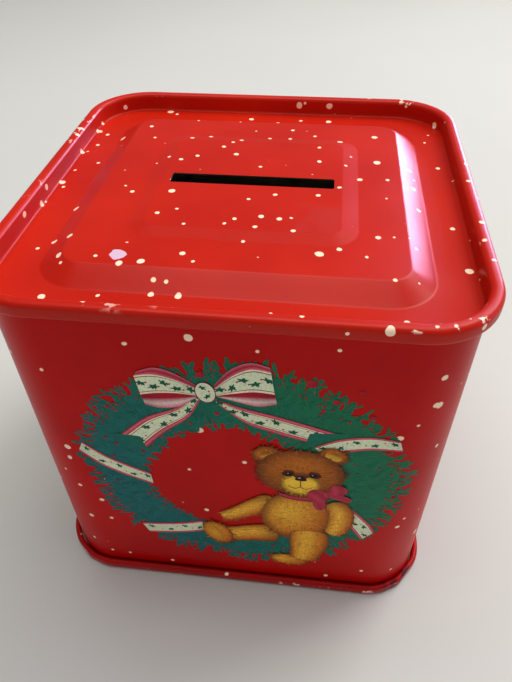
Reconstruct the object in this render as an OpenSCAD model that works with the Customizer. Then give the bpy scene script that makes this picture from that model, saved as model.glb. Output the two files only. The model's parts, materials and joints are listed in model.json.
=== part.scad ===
// Square tin money box.
// A rolled wall with a lock seam, a pressed top end with the coin slot, a base end with a round
// hole, and a soft plastic stopper that closes the hole. Both ends are double seamed to the wall.
// The origin is the middle of the footprint, on the surface that the tin stands on. Z is up and
// the front face looks towards -Y.

/* [Body] */
// Width and depth of the wall, from outside face to outside face
body_w = 80; // [74:1:110]
// Height from the standing surface to the crest of the top seam
body_h = 80; // [50:1:160]
// Outside radius of the wall's upright corners
corner_r = 11.2; // [9.5:0.1:13]
// Thickness of the tinplate
sheet_t = 0.3; // [0.24:0.01:0.3]

/* [Seams] */
// How far the seams stand out from the wall
seam_out = 1.6; // [1.6:0.05:1.8]
// Height of each rolled seam
seam_h = 2.8; // [2.7:0.05:3.4]
// Depth of the countersink inside each seam
sink_h = 3.75; // [3.5:0.05:4.5]

/* [Top panel] */
// Distance from the wall's outside face to the foot of the outer step
outer_step_in = 7.3; // [6:0.1:8]
// Corner radius at the foot of the outer step
outer_step_r = 8; // [6.5:0.1:9]
// Width of the outer step's slope
outer_step_run = 4.2; // [3:0.1:4.8]
// Height of the outer step
outer_step_rise = 2.3; // [1:0.1:2.4]
// Width of the inner step's foot, side to side
inner_step_w = 40.5; // [40.5:0.1:43]
// Corner radius at the foot of the inner step
inner_step_r = 5; // [4:0.1:6]
// Width of the inner step's slope
inner_step_run = 3.05; // [2:0.05:3.2]
// Height of the inner step
inner_step_rise = 0.55; // [0.3:0.05:0.8]
// Length of the coin slot
slot_l = 31.4; // [26:0.1:33]
// Width of the coin slot
slot_w = 3.7; // [2.5:0.1:4.5]

/* [Base and stopper] */
// Diameter of the hole in the base
hole_d = 38; // [32:0.5:42]
// Depth of the round seat pressed up around the hole
seat_rise = 0.6; // [0.3:0.1:1]
// Width of the flat seat around the hole
seat_w = 4; // [3.8:0.1:5]
// Thickness of the stopper's flange
flange_t = 1.2; // [0.8:0.1:1.6]
// Height of the stopper's plug above its flange
plug_h = 8.2; // [6:0.1:12]
// Wall thickness of the stopper
plug_wall = 1.3; // [1:0.1:1.8]
// Width of the pull bar across the stopper
bar_w = 3; // [2:0.1:4]

/* [Hidden] */
$fn = 64;

lap_gap = 0.05;                          // air between two layers of a seam
fit_gap = 0.08;                          // air around the stopper in its hole
chuck_x = -(2 * sheet_t + lap_gap);      // inner face of an end's upright wall
crest_r = 0.9;                           // outer radius of the seam's two crest bends
tuck_r = 0.625;                          // outer radius of the bend under the seam
sink_r = 0.5;                            // inner radius of the bend at the countersink's foot
hook_r = 0.7;                            // outer radius of the wall's hook inside the seam
curl_z = sheet_t + lap_gap + hook_r;     // depth of the hook's centre below the crest
cover_hook_z = 1.2;                      // depth of the cover hook's edge below the crest

plate_in = sink_r - chuck_x;             // where an end's flat plate starts, inside the wall face
outer_foot_w = body_w - 2 * outer_step_in;
outer_top_w = outer_foot_w - 2 * outer_step_run;
inner_top_w = inner_step_w - 2 * inner_step_run;
slot_corner_r = 0.4;

lock_half = 1.8;                         // half the length of the lock seam's flat folds
lock_r = 0.5;                            // outer radius of the lock seam's folds
lock_pitch = sheet_t + lap_gap;
lock_x = -(body_w / 2 - corner_r - 4);   // the lock seam runs up the back, near a corner
lock_end = 4.8;                          // the folds stop this far from each crest
joggle_gap = 0.4;                        // from the outer fold's centre to the joggle
joggle_run = 0.6;                        // length of the joggle's slope

seat_r = hole_d / 2 + seat_w;
seat_slope = 0.8;
seat_z = sink_h + seat_rise;             // underside of the flat seat
flange_r = seat_r - 0.5;
flange_top = seat_z - lap_gap;
flange_bottom = flange_top - flange_t;
plug_r = hole_d / 2 - fit_gap;
plug_top = flange_top + plug_h;
plug_taper = 0.9;                        // how much smaller the plug is at its inner end
groove_depth = 0.4;
groove_h = 0.55;
bead_h = 1.2;
cup_r = plug_r - groove_depth - plug_wall;
membrane_t = 1.2;
bar_h = 4;
edge_cut = 0.3;                          // chamfer on the flange's lower edge

tin_red = [0.62, 0.07, 0.06];
lid_red = [0.78, 0.15, 0.10];
tin_grey = [0.72, 0.72, 0.70];
plug_white = [0.90, 0.89, 0.85];

// An upright rectangle given by its left, right, lower and upper edges
module strip(left, right, low, high) {
    translate([left, low]) square([right - left, high - low]);
}

// A bent stretch of sheet: quarter turns of a ring, counted anticlockwise from +X
module bend(r_in, first, count = 1) {
    for (quarter = [first : first + count - 1])
        rotate(90 * quarter)
            intersection() {
                difference() {
                    circle(r_in + sheet_t);
                    circle(r_in);
                }
                square(r_in + sheet_t);
            }
}

module rounded_square(w, r) {
    union() {
        square([w, w - 2 * r], center = true);
        square([w - 2 * r, w], center = true);
        for (x = [-1, 1], y = [-1, 1])
            translate([x, y] * (w / 2 - r)) circle(r);
    }
}

// Sweeps a 2-D section around a rounded square. X = 0 in the section lies on the square's outline.
module around_square(w, r) {
    flat = w - 2 * r;
    for (turn = [0 : 90 : 270])
        rotate(turn) {
            translate([w / 2, flat / 2, 0])
                rotate([90, 0, 0])
                    linear_extrude(flat) children();
            translate([flat / 2, flat / 2, 0])
                rotate_extrude(angle = 90) translate([r, 0]) children();
        }
}

// The end's half of a double seam, from the countersink's foot over the crest to the cover hook.
// Z = 0 is the crest.
module end_seam_section() {
    hook_x = seam_out - 2 * tuck_r;
    translate([-plate_in, sink_r - sink_h]) bend(sink_r, 3);
    strip(chuck_x, chuck_x + sheet_t, sink_r - sink_h, -crest_r);
    translate([chuck_x + crest_r, -crest_r]) bend(crest_r - sheet_t, 1);
    strip(chuck_x + crest_r, seam_out - crest_r, -sheet_t, 0);
    translate([seam_out - crest_r, -crest_r]) bend(crest_r - sheet_t, 0);
    strip(seam_out - sheet_t, seam_out, tuck_r - seam_h, -crest_r);
    translate([seam_out - tuck_r, tuck_r - seam_h]) bend(tuck_r - sheet_t, 2, 2);
    strip(hook_x, hook_x + sheet_t, tuck_r - seam_h, -cover_hook_z);
}

// The wall's half of a double seam: its edge rolled out and down. Z = 0 is the crest.
module wall_hook_section() {
    hook_x = 2 * hook_r - 2 * sheet_t;
    translate([hook_r - sheet_t, -curl_z]) bend(hook_r - sheet_t, 0, 2);
    strip(hook_x, hook_x + sheet_t, tuck_r - seam_h, -curl_z);
}

module wall_section() {
    strip(-sheet_t, 0, curl_z, body_h - curl_z);
    translate([0, body_h]) wall_hook_section();
    mirror([0, 1]) wall_hook_section();
}

// The lock seam seen from above: two folded edges hooked into each other, flush outside.
// Y = 0 is the wall's outside face and the folds lie behind it.
module lock_section() {
    window = [-(lock_half + lock_r), lock_half + joggle_gap + joggle_run];
    third = -2 * lock_pitch;
    fourth = -3 * lock_pitch;
    union() {
        strip(window[0], lock_half, -sheet_t, 0);
        translate([lock_half, -lock_r]) {
            bend(lock_r - sheet_t, 3);
            bend(lock_r - sheet_t, 0);
        }
        strip(-lock_half, lock_half, third - sheet_t, third);
    }
    union() {
        strip(-lock_half, lock_half, -lock_pitch - sheet_t, -lock_pitch);
        translate([-lock_half, -lock_pitch - lock_r]) bend(lock_r - sheet_t, 1, 2);
        strip(-lock_half, lock_half + joggle_gap, fourth - sheet_t, fourth);
        polygon([
            [lock_half + joggle_gap, fourth],
            [window[1], 0],
            [window[1], -sheet_t],
            [lock_half + joggle_gap, fourth - sheet_t]
        ]);
    }
}

// A flat plate between two outlines: the first child less the others, with its top face at z
module plate(z) {
    translate([0, 0, z - sheet_t])
        linear_extrude(sheet_t)
            difference() {
                children(0);
                children([1 : $children - 1]);
            }
}

// A pressed step that rises towards the middle, swept around a rounded square
module square_step(w, r, run, rise, z) {
    around_square(w, r)
        translate([0, z])
            polygon([[0, 0], [-run, rise], [-run, rise - sheet_t], [0, -sheet_t]]);
}

module plate_outline() {
    rounded_square(body_w - 2 * plate_in, corner_r - plate_in);
}

module slot_outline() {
    x = slot_l / 2 - slot_corner_r;
    y = slot_w / 2 - slot_corner_r;
    square([slot_l, 2 * y], center = true);
    square([2 * x, slot_w], center = true);
    for (i = [-1, 1], j = [-1, 1])
        translate([i * x, j * y]) circle(slot_corner_r);
}

module body_wall() {
    low = lock_half + lock_r;
    high = lock_half + joggle_gap + joggle_run;
    color(tin_red) union() {
        difference() {
            around_square(body_w, corner_r) wall_section();
            translate([lock_x - low, body_w / 2 - 1, lock_end])
                cube([low + high, 2, body_h - 2 * lock_end]);
        }
        translate([lock_x, body_w / 2, lock_end])
            linear_extrude(body_h - 2 * lock_end) lock_section();
    }
}

module top_end() {
    middle_z = outer_step_rise - sink_h;
    inner_z = middle_z + inner_step_rise;
    color(lid_red) translate([0, 0, body_h]) union() {
        around_square(body_w, corner_r) end_seam_section();
        plate(-sink_h) {
            plate_outline();
            rounded_square(outer_foot_w, outer_step_r);
        }
        square_step(outer_foot_w, outer_step_r, outer_step_run, outer_step_rise, -sink_h);
        plate(middle_z) {
            rounded_square(outer_top_w, outer_step_r - outer_step_run);
            rounded_square(inner_step_w, inner_step_r);
        }
        square_step(inner_step_w, inner_step_r, inner_step_run, inner_step_rise, middle_z);
        plate(inner_z) {
            rounded_square(inner_top_w, inner_step_r - inner_step_run);
            slot_outline();
        }
    }
}

module base_end() {
    color(tin_grey) union() {
        mirror([0, 0, 1]) around_square(body_w, corner_r) end_seam_section();
        plate(sink_h + sheet_t) {
            plate_outline();
            circle(seat_r + seat_slope);
        }
        rotate_extrude()
            polygon([
                [seat_r + seat_slope, sink_h],
                [seat_r, seat_z],
                [seat_r, seat_z + sheet_t],
                [seat_r + seat_slope, sink_h + sheet_t]
            ]);
        plate(seat_z + sheet_t) {
            circle(seat_r);
            circle(hole_d / 2);
        }
    }
}

module stopper() {
    groove_r = plug_r - groove_depth;
    groove_top = flange_top + groove_h;
    bead_top = groove_top + bead_h;
    color(plug_white) union() {
        rotate_extrude()
            polygon([
                [cup_r, flange_bottom],
                [flange_r - edge_cut, flange_bottom],
                [flange_r, flange_bottom + edge_cut],
                [flange_r, flange_top],
                [groove_r, flange_top],
                [groove_r, groove_top],
                [plug_r, groove_top + groove_depth],
                [plug_r, bead_top],
                [plug_r - plug_taper, plug_top],
                [0, plug_top],
                [0, plug_top - membrane_t],
                [cup_r - plug_taper, plug_top - membrane_t],
                [cup_r, bead_top]
            ]);
        intersection() {
            translate([-cup_r - 1, -bar_w / 2, flange_bottom]) cube([2 * cup_r + 2, bar_w, bar_h]);
            translate([0, 0, flange_bottom]) cylinder(r = cup_r + plug_wall / 2, h = bar_h);
        }
    }
}

body_wall();
top_end();
base_end();
stopper();
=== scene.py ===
"""Looks of a square printed tin money box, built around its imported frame.

Every length inside the classes is in millimetres, as a tin maker states it, and is turned into
metres by MM where it meets Blender.
"""

import json
import logging
import math
import random
from collections.abc import Callable, Sequence
from dataclasses import dataclass, field
from enum import Enum

import bmesh
import bpy
from mathutils import Euler, Matrix, Vector

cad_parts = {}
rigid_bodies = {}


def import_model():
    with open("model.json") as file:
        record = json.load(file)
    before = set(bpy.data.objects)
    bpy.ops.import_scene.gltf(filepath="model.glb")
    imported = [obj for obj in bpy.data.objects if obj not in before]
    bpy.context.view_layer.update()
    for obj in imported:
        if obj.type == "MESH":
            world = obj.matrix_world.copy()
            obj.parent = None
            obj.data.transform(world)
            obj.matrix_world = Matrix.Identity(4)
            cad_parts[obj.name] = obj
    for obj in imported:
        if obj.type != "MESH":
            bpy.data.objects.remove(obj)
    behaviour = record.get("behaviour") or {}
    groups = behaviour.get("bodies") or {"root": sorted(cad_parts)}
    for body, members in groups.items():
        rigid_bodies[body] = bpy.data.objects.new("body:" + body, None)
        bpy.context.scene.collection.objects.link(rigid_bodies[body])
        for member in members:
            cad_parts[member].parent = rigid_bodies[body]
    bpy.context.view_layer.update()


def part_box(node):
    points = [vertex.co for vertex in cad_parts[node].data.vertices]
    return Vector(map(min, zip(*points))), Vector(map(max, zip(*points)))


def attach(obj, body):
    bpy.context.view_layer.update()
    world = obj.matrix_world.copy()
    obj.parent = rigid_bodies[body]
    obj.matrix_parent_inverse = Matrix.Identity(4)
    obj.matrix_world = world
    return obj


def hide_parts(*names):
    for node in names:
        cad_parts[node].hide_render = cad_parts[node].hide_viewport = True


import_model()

MM = 0.001
SAME_PLACE = 0.01
TIN, PLUG = "tin", "stopper"
Colour = tuple[float, float, float]
Point = tuple[float, float]

log = logging.getLogger("money_box")


def linear(red: int, green: int, blue: int) -> Colour:
    """Turns a colour from a swatch card into scene-linear light.

    Args:
        red: Red, 0 to 255.
        green: Green, 0 to 255.
        blue: Blue, 0 to 255.

    Returns:
        The linear colour.
    """

    def channel(value: int) -> float:
        """Returns one channel, linear."""
        share = value / 255
        return share / 12.92 if share <= 0.04045 else ((share + 0.055) / 1.055) ** 2.4

    return channel(red), channel(green), channel(blue)


def blend(first: Colour, second: Colour, share: float) -> Colour:
    """Mixes two colours.

    Args:
        first: The colour at share 0.
        second: The colour at share 1.
        share: How much of the second, clamped to 0..1.

    Returns:
        The mixed colour.
    """
    part = min(1.0, max(0.0, share))
    return tuple(a + (b - a) * part for a, b in zip(first, second))


def scaled(colour: Colour, factor: float) -> Colour:
    """Returns a colour made lighter or darker by a factor."""
    return tuple(channel * factor for channel in colour)


class Reach(Enum):
    """What a lamp's light may reach."""

    ALL = "all"
    MATT_ONLY = "matt"
    GLOSS_ONLY = "gloss"


class Ink(Enum):
    """The printing inks, as swatch-card colours."""

    GREEN = (22, 112, 78)
    TEAL = (24, 104, 104)
    DEEP_GREEN = (12, 70, 54)
    LEAF = (16, 92, 70)
    MINT = (226, 236, 200)
    CREAM = (250, 232, 196)
    LINE = (110, 40, 30)
    CRIMSON = (176, 22, 52)
    PINK = (226, 110, 130)
    SHELL = (240, 214, 206)
    BERRY = (196, 26, 34)
    GROUND = (176, 24, 22)
    FUR = (206, 116, 30)
    FUR_LIGHT = (250, 190, 62)
    FUR_DARK = (98, 38, 16)
    MUZZLE = (244, 196, 60)
    BLACK = (26, 14, 14)
    ROSE = (208, 58, 84)
    ROSE_DARK = (140, 28, 48)

    @property
    def light(self) -> Colour:
        """The ink's linear colour."""
        return linear(*self.value)


@dataclass(frozen=True)
class TinSizes:
    """The tin's driving sizes, in millimetres."""

    height: float
    reach: float
    seam_out: float = 1.6
    corner_r: float = 11.2
    sheet: float = 0.3
    seam_h: float = 2.8
    sink: float = 3.75
    crest_r: float = 0.9
    tuck_r: float = 0.625
    sink_r: float = 0.5

    @classmethod
    def from_frame(cls) -> "TinSizes":
        """Measures the frame once: its height, and its half width over the seams."""
        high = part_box("top_end")[1]
        return cls(high.z / MM, high.x / MM)

    @property
    def half(self) -> float:
        """Half the wall's width."""
        return self.reach - self.seam_out

    @property
    def flat(self) -> float:
        """Half the flat stretch of each side."""
        return self.half - self.corner_r

    @property
    def chuck(self) -> float:
        """Where an end's upright inner wall stands, measured out from the wall's face."""
        return -(2 * self.sheet + 0.05)


SIZES = TinSizes.from_frame()


# ---------------------------------------------------------------- edit-mode hand tools


def enter_edit() -> None:
    """Opens the active object in edit mode."""
    bpy.ops.object.mode_set(mode="EDIT")


def leave_edit() -> bpy.types.Object:
    """Closes edit mode.

    Returns:
        The object that was edited.
    """
    bpy.ops.object.mode_set(mode="OBJECT")
    return bpy.context.object


def pick_rims(z: float) -> int:
    """Selects the open edges that lie at a height, in edit mode.

    Args:
        z: The height.

    Returns:
        How many edges are selected.
    """
    bpy.ops.mesh.select_all(action="DESELECT")
    bpy.ops.mesh.select_mode(type="EDGE")
    mesh = bmesh.from_edit_mesh(bpy.context.object.data)
    found = [
        edge
        for edge in mesh.edges
        if (edge.is_boundary or edge.is_wire)
        and all(abs(vertex.co.z / MM - z) < SAME_PLACE for vertex in edge.verts)
    ]
    for edge in found:
        edge.select_set(True)
    bmesh.update_edit_mesh(bpy.context.object.data)
    return len(found)


class SheetBender:
    """Draws a sheet's section as a chain of edges and drives it round the tin, as a seamer does.

    In the section, r runs out from the wall's face (or from the outline given) and z runs up.
    """

    def __init__(self, name: str) -> None:
        """Starts an empty piece with the given name."""
        bpy.ops.object.select_all(action="DESELECT")
        bpy.ops.mesh.primitive_plane_add(size=MM)
        piece = bpy.context.object
        piece.name = name
        piece.data.name = name
        enter_edit()
        bpy.ops.mesh.select_all(action="SELECT")
        bpy.ops.mesh.delete(type="VERT")
        self.origin = Vector((0, 0, 0))
        self.r = 0.0
        self.z = 0.0

    def pen_down(self, outline: float, flat: float, r: float, z: float) -> None:
        """Starts a chain at the front end of the right-hand side.

        Args:
            outline: Half width of the outline that r is measured from.
            flat: Half the outline's straight stretch.
            r: Distance out from the outline.
            z: Height.
        """
        bpy.ops.mesh.select_all(action="DESELECT")
        bpy.ops.mesh.primitive_plane_add(size=MM)
        bpy.ops.mesh.merge(type="CENTER")
        self.origin = Vector((outline, -flat, 0))
        self.r, self.z = r, z
        bpy.ops.transform.translate(value=(self.origin + Vector((r, 0, z))) * MM)

    def line_to(self, r: float, z: float, steps: int = 1) -> None:
        """Draws a straight stretch to a point, in one or more steps."""
        move = Vector((r - self.r, 0, z - self.z)) * MM / steps
        for _ in range(steps):
            bpy.ops.mesh.extrude_vertices_move(TRANSFORM_OT_translate={"value": move})
        self.r, self.z = r, z

    def arc(self, centre_r: float, centre_z: float, degrees: float, steps: int) -> None:
        """Draws an arc.

        Args:
            centre_r: The arc's centre, out from the outline.
            centre_z: The arc's centre, height.
            degrees: The turn, positive from +r towards +z.
            steps: How many edges the arc has.
        """
        centre = (self.origin + Vector((centre_r, 0, centre_z))) * MM
        angle = math.radians(degrees)
        bpy.ops.mesh.spin(steps=steps, angle=angle, center=centre, axis=(0, 1, 0))
        dr, dz = self.r - centre_r, self.z - centre_z
        self.r = centre_r + dr * math.cos(angle) - dz * math.sin(angle)
        self.z = centre_z + dr * math.sin(angle) + dz * math.cos(angle)

    def run(self, move: Vector, steps: int = 1) -> None:
        """Drives the section straight on.

        Args:
            move: The whole move, in millimetres.
            steps: How many rows of faces it makes.
        """
        for _ in range(steps):
            bpy.ops.mesh.extrude_region_move(
                TRANSFORM_OT_translate={"value": move * MM / steps}
            )

    def turn(self, x: float, y: float, degrees: float, steps: int) -> None:
        """Drives the section round an upright axis at x, y, anticlockwise for positive degrees."""
        bpy.ops.mesh.spin(
            steps=steps, angle=-math.radians(degrees), center=(x * MM, y * MM, 0), axis=(0, 0, 1)
        )

    def around(self, flat: float, straight_steps: int = 12, corner_steps: int = 14) -> None:
        """Drives the drawn chain once round a rounded square and closes it.

        Args:
            flat: Half the straight stretch of a side.
            straight_steps: Rows of faces along each straight.
            corner_steps: Rows of faces round each corner.
        """
        bpy.ops.mesh.select_linked()
        along, corner = Vector((0, 2 * flat, 0)), Vector((flat, flat, 0))
        for _ in range(4):
            self.run(along, straight_steps)
            self.turn(corner.x, corner.y, 90, corner_steps)
            quarter = Matrix.Rotation(math.radians(90), 3, "Z")
            along, corner = quarter @ along, quarter @ corner
        bpy.ops.mesh.select_linked()
        bpy.ops.mesh.remove_doubles(threshold=SAME_PLACE * MM)

    def bridge_at(self, z: float) -> None:
        """Fills the flat plate between the two open loops that lie at a height."""
        if pick_rims(z) == 0:
            raise ValueError(f"no open loops at {z} mm")
        bpy.ops.mesh.bridge_edge_loops()

    def fill_at(self, z: float) -> None:
        """Fills the flat panel at a height and leaves its pierced outline open."""
        pick_rims(z)
        bpy.ops.mesh.fill(use_beauty=True)

    def finish(self, thickness: float) -> bpy.types.Object:
        """Closes the piece: merges, turns its faces outwards and gives the sheet its thickness.

        Args:
            thickness: Sheet thickness, inwards; 0 leaves the piece a skin.

        Returns:
            The finished piece.
        """
        bpy.ops.mesh.select_mode(type="VERT")
        bpy.ops.mesh.select_all(action="SELECT")
        bpy.ops.mesh.remove_doubles(threshold=SAME_PLACE * MM)
        bpy.ops.mesh.normals_make_consistent(inside=False)
        piece = leave_edit()
        if thickness:
            solidify(piece, thickness)
        smooth(piece)
        return piece


def solidify(piece: bpy.types.Object, thickness: float) -> None:
    """Gives a skin its sheet thickness, inwards; the inner skin takes the second material."""
    only(piece)
    wall = piece.modifiers.new("sheet", "SOLIDIFY")
    wall.thickness = thickness * MM
    wall.offset = -1
    wall.use_even_offset = True
    piece.data.materials.append(None)
    piece.data.materials.append(None)
    wall.material_offset = 1
    wall.material_offset_rim = 1
    bpy.ops.object.modifier_apply(modifier="sheet")


def only(piece: bpy.types.Object) -> None:
    """Makes a piece the only selected and active object."""
    bpy.ops.object.select_all(action="DESELECT")
    piece.select_set(True)
    bpy.context.view_layer.objects.active = piece


def smooth(piece: bpy.types.Object, degrees: float = 40) -> None:
    """Shades a piece smooth, apart from edges sharper than an angle."""
    only(piece)
    bpy.ops.object.shade_smooth_by_angle(angle=math.radians(degrees))


def dress(piece: bpy.types.Object, body: str, slot: str, *finishes: bpy.types.Material) -> None:
    """Gives a piece its materials and says what it rides on.

    Args:
        piece: The piece.
        body: The CAD body that it moves with.
        slot: The record's material slot; not used.
        finishes: Its materials, in slot order.
    """
    for index, finish in enumerate(finishes):
        if index < len(piece.data.materials):
            piece.data.materials[index] = finish
        else:
            piece.data.materials.append(finish)
    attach(piece, body)
    log.info("%s: %d faces", piece.name, len(piece.data.polygons))


# ---------------------------------------------------------------- finishes


class NodeBench:
    """A short hand for laying out a material's nodes."""

    def __init__(self, name: str) -> None:
        """Starts a material with one Principled shader."""
        self.material = bpy.data.materials.new(name)
        self.material.use_nodes = True
        self.tree = self.material.node_tree
        self.shader = self.tree.nodes["Principled BSDF"]
        self.place = self.node("ShaderNodeTexCoord").outputs["Object"]

    def node(self, kind: str, **settings: object) -> bpy.types.Node:
        """Adds a node and sets its properties."""
        made = self.tree.nodes.new(kind)
        for key, value in settings.items():
            setattr(made, key, value)
        return made

    def feed(self, socket: bpy.types.NodeSocket, value: object) -> None:
        """Links a socket to another, or sets its value."""
        if isinstance(value, bpy.types.NodeSocket):
            self.tree.links.new(value, socket)
        elif isinstance(value, tuple) and len(value) == 3 and socket.type == "RGBA":
            socket.default_value = (*value, 1)
        else:
            socket.default_value = value

    def math(self, operation: str, *values: object, clamp: bool = False) -> bpy.types.NodeSocket:
        """Adds a Math node.

        Args:
            operation: The node's operation.
            values: Its inputs, sockets or numbers.
            clamp: True to keep the result in 0..1.

        Returns:
            The result's socket.
        """
        made = self.node("ShaderNodeMath", operation=operation, use_clamp=clamp)
        for socket, value in zip(made.inputs, values):
            self.feed(socket, value)
        return made.outputs[0]

    def ramp(self, value: object, low: float, high: float) -> bpy.types.NodeSocket:
        """Returns 0 below low and 1 above high, smooth between."""
        made = self.node("ShaderNodeMapRange", interpolation_type="SMOOTHSTEP")
        for name, number in (("Value", value), ("From Min", low), ("From Max", high)):
            self.feed(made.inputs[name], number)
        return made.outputs["Result"]

    def mix(self, share: object, first: object, second: object) -> bpy.types.NodeSocket:
        """Returns a mix of two colours."""
        made = self.node("ShaderNodeMix", data_type="RGBA")
        for index, value in ((0, share), (6, first), (7, second)):
            self.feed(made.inputs[index], value)
        return made.outputs[2]

    def noise(self, scale: float, detail: float = 2, place: object = None) -> bpy.types.Node:
        """Adds a noise texture; scale counts features per metre."""
        made = self.node("ShaderNodeTexNoise")
        self.feed(made.inputs["Vector"], place or self.place)
        self.feed(made.inputs["Scale"], scale)
        self.feed(made.inputs["Detail"], detail)
        return made

    def axis(self, which: str) -> bpy.types.NodeSocket:
        """Returns one coordinate of the place on the piece, in metres."""
        made = self.node("ShaderNodeSeparateXYZ")
        self.feed(made.inputs[0], self.place)
        return made.outputs[which]

    def bump(self, height: object, distance: float, strength: float = 1.0) -> None:
        """Feeds a height into the shader's normal; distance is in millimetres."""
        made = self.node("ShaderNodeBump")
        self.feed(made.inputs["Height"], height)
        self.feed(made.inputs["Distance"], distance * MM)
        self.feed(made.inputs["Strength"], strength)
        self.feed(self.shader.inputs["Normal"], made.outputs[0])

    def set(self, **values: object) -> None:
        """Sets sockets of the shader; underscores in a name stand for spaces."""
        for name, value in values.items():
            self.feed(self.shader.inputs[name.replace("_", " ")], value)


@dataclass(frozen=True)
class SnowDots:
    """Cream specks printed on the enamel."""

    cell: float = 3.5
    smallest: float = 0.1
    spread: float = 0.13
    colour: Colour = field(default_factory=lambda: linear(255, 226, 196))

    def mask(self, bench: NodeBench) -> bpy.types.NodeSocket:
        """Returns 1 on a speck and 0 off it.

        Args:
            bench: The material that is being laid out.

        Returns:
            The mask's socket.
        """
        wobble = bench.noise(700, 1)
        shifted = bench.node("ShaderNodeMix", data_type="VECTOR")
        bench.feed(shifted.inputs[0], 0.00035)
        bench.feed(shifted.inputs[4], bench.place)
        bench.feed(shifted.inputs[5], wobble.outputs["Color"])
        cells = bench.node("ShaderNodeTexVoronoi")
        bench.feed(cells.inputs["Vector"], shifted.outputs[1])
        bench.feed(cells.inputs["Scale"], 1 / (self.cell * MM))
        split = bench.node("ShaderNodeSeparateColor")
        bench.feed(split.inputs[0], cells.outputs["Color"])
        chance = bench.math("POWER", split.outputs[0], 2.5)
        radius = bench.math("MULTIPLY_ADD", chance, self.spread, self.smallest)
        depth = bench.math("SUBTRACT", radius, cells.outputs["Distance"])
        return bench.ramp(depth, -0.012, 0.014)


@dataclass(frozen=True)
class Enamel:
    """Red enamel on tinplate, with snow dots, worn edges, small chips and painted shade in a crumpled
    corner.
    """

    name: str
    ground: Colour
    shade: Colour
    dots: SnowDots | None = None
    crest: float | None = None
    chip: Point | None = None
    ghost: tuple[float, float, float, float] | None = None
    scuff_and_shade: Point | None = None
    roughness: float = 0.34
    gloss: float = 0.16

    def build(self) -> bpy.types.Material:
        """Lays out the material.

        Returns:
            The material.
        """
        bench = NodeBench(self.name)
        cloud = bench.noise(38, 3)
        colour = bench.mix(bench.ramp(cloud.outputs["Fac"], 0.35, 0.7), self.shade, self.ground)
        height = bench.noise(1500, 2).outputs["Fac"]
        rough = bench.math(
            "MULTIPLY_ADD", bench.noise(90, 4).outputs["Fac"], 0.16, self.roughness - 0.08
        )
        if self.dots:
            colour = bench.mix(self.dots.mask(bench), colour, self.dots.colour)
        if self.ghost:
            mask = self.ghost_mask(bench)
            rough = bench.math("MULTIPLY_ADD", mask, 0.12, rough)
            colour = bench.mix(bench.math("MULTIPLY", mask, 0.35), colour, scaled(self.ground, 0.72))
        # painted shade: darkens the crumpled corner of the base seam
        if self.scuff_and_shade:
            colour = self.paint_crumple_shade(bench, colour)
        if self.crest is not None:
            colour = self.worn(bench, colour)
        if self.chip:
            colour = self.chipped(bench, colour)
        bench.bump(height, 0.012, 0.6)
        bench.set(Base_Color=colour, Roughness=rough, Specular_IOR_Level=self.gloss)
        return bench.material

    def worn(self, bench: NodeBench, colour: object) -> bpy.types.NodeSocket:
        """Rubs the paint off the crest of a seam in small chips."""
        height = bench.axis("Z")
        near = bench.ramp(
            bench.math("ABSOLUTE", bench.math("SUBTRACT", height, self.crest * MM)),
            0.75 * MM,
            0.15 * MM,
        )
        flecks = bench.noise(520, 3).outputs["Fac"]
        places = bench.noise(60, 2).outputs["Fac"]
        bare = bench.math("MULTIPLY", bench.ramp(flecks, 0.6, 0.64), bench.ramp(places, 0.5, 0.6))
        bare = bench.math("MULTIPLY", bare, near)
        return bench.mix(bare, colour, linear(250, 220, 200))

    def chipped(self, bench: NodeBench, colour: object) -> bpy.types.NodeSocket:
        """Knocks one larger chip out of the paint, down to its pale primer."""
        x, y = self.chip
        ragged = bench.noise(420, 2).outputs["Fac"]
        across = bench.math("SUBTRACT", bench.axis("X"), x * MM)
        along = bench.math("SUBTRACT", bench.axis("Y"), y * MM)
        reach = bench.math(
            "SQRT",
            bench.math(
                "ADD", bench.math("MULTIPLY", across, across), bench.math("MULTIPLY", along, along)
            ),
        )
        edge = bench.math("MULTIPLY_ADD", ragged, 2.6 * MM, 0.25 * MM)
        mask = bench.ramp(bench.math("SUBTRACT", edge, reach), -0.05 * MM, 0.1 * MM)
        return bench.mix(mask, colour, linear(214, 182, 206))

    def paint_crumple_shade(self, bench: NodeBench, colour: object) -> bpy.types.NodeSocket:
        """Paints shade into the knocked corner of the seam: dark broken patches that stand in for the shade
        in its crumple.
        """
        across = bench.math("SUBTRACT", bench.axis("X"), self.scuff_and_shade[0] * MM)
        along = bench.math("SUBTRACT", bench.axis("Y"), self.scuff_and_shade[1] * MM)
        squares = [bench.math("MULTIPLY", value, value) for value in (across, along)]
        reach = bench.math("SQRT", bench.math("ADD", *squares))
        near = bench.ramp(reach, 7.5 * MM, 2.0 * MM)
        broken = bench.ramp(bench.noise(650, 4).outputs["Fac"], 0.47, 0.56)
        mask = bench.math("MULTIPLY", bench.math("MULTIPLY", near, broken), 0.85)
        return bench.mix(mask, colour, linear(70, 14, 30))

    def ghost_mask(self, bench: NodeBench) -> bpy.types.NodeSocket:
        """Returns the mark that an old price label left."""
        low_x, high_x, low_y, high_y = self.ghost
        x, y = bench.axis("X"), bench.axis("Y")
        soft = 0.4 * MM
        mask = bench.ramp(x, low_x * MM - soft, low_x * MM + soft)
        for value, edge, sign in ((x, high_x, -1), (y, low_y, 1), (y, high_y, -1)):
            inner = sign * edge * MM
            signed = bench.math("MULTIPLY", value, sign)
            here = bench.ramp(signed, inner - soft, inner + soft)
            mask = bench.math("MULTIPLY", mask, here)
        patchy = bench.ramp(bench.noise(260, 4).outputs["Fac"], 0.35, 0.6)
        return bench.math("MULTIPLY", mask, patchy)


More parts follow.
